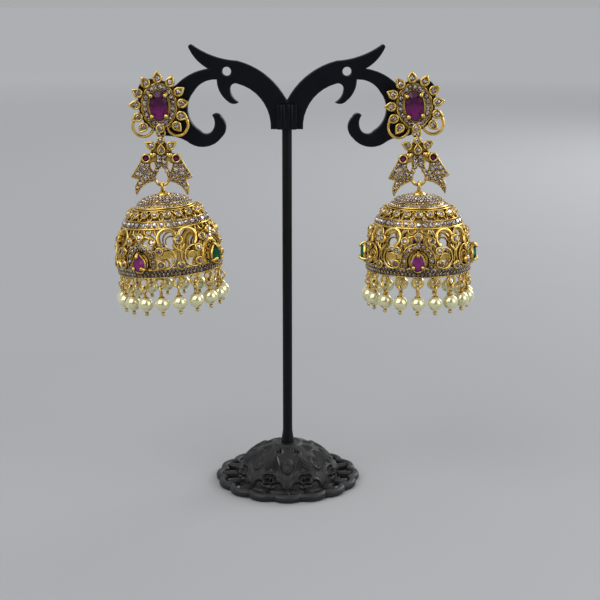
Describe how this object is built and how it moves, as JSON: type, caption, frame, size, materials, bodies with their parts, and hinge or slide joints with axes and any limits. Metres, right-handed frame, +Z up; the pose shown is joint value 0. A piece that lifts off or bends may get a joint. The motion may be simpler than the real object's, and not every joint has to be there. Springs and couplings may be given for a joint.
{
  "type": "jhumka earring pair on a display stand",
  "caption": "Pair of gilt jhumka drop earrings with pierced bells, stones and pearl fringes, hung by their posts on a small black scroll stand.",
  "frame": {"origin": "centre of the stand base's flat underside", "axes": "+Z up along the pole, -Y towards the viewer of the earrings, +X to the right"},
  "size_m": [0.0994, 0.0406, 0.1232],
  "materials": {
    "gold": "polished gold plating",
    "ruby": "dark pinkish red cut stone",
    "emerald": "deep green cut stone",
    "white_stone": "clear cut stone",
    "pearl": "pearly white",
    "arms_black": "glossy black",
    "pole_black": "satin black",
    "base_black": "matt black casting"
  },
  "bodies": {
    "stand": {"stand_base": "base_black", "stand_pole": "pole_black", "stand_arms": "arms_black", "left_stud_setting": "gold", "left_stud_ruby": "ruby", "left_stud_halo_stones": "white_stone", "left_stud_petal_stones": "white_stone", "left_stud_nut": "gold", "right_stud_setting": "gold", "right_stud_ruby": "ruby", "right_stud_halo_stones": "white_stone", "right_stud_petal_stones": "white_stone", "right_stud_nut": "gold"},
    "left_link": {"left_link_setting": "gold", "left_link_rubies": "ruby", "left_link_petal_stones": "white_stone"},
    "left_bell": {"left_bell": "gold", "left_bell_bail": "gold", "left_crown_stones": "white_stone", "left_motif_stones": "white_stone", "left_bell_ruby_front": "ruby", "left_bell_ruby_back": "ruby", "left_bell_emerald_left": "emerald", "left_bell_emerald_right": "emerald", "left_pearl_pins": "gold", "left_pearls": "pearl"},
    "right_link": {"right_link_setting": "gold", "right_link_rubies": "ruby", "right_link_petal_stones": "white_stone"},
    "right_bell": {"right_bell": "gold", "right_bell_bail": "gold", "right_crown_stones": "white_stone", "right_motif_stones": "white_stone", "right_bell_ruby_front": "ruby", "right_bell_ruby_back": "ruby", "right_bell_emerald_left": "emerald", "right_bell_emerald_right": "emerald", "right_pearl_pins": "gold", "right_pearls": "pearl"}
  },
  "joints": [
    {"name": "left_link_swing", "type": "hinge", "parent": "stand", "child": "left_link", "pos_m": [-0.03391, -0.00395, 0.09881], "axis": [1, 0, 0], "range_deg": [-45, 15]},
    {"name": "left_bell_swing", "type": "hinge", "parent": "left_link", "child": "left_bell", "pos_m": [-0.03391, -0.00395, 0.08571], "axis": [1, 0, 0], "range_deg": [-60, 60]},
    {"name": "right_link_swing", "type": "hinge", "parent": "stand", "child": "right_link", "pos_m": [0.03508, -0.00395, 0.09885], "axis": [0.9981, 0, 0.061], "range_deg": [-45, 15]},
    {"name": "right_bell_swing", "type": "hinge", "parent": "right_link", "child": "right_bell", "pos_m": [0.03588, -0.00395, 0.08577], "axis": [0.9981, 0, 0.061], "range_deg": [-60, 60]}
  ]
}
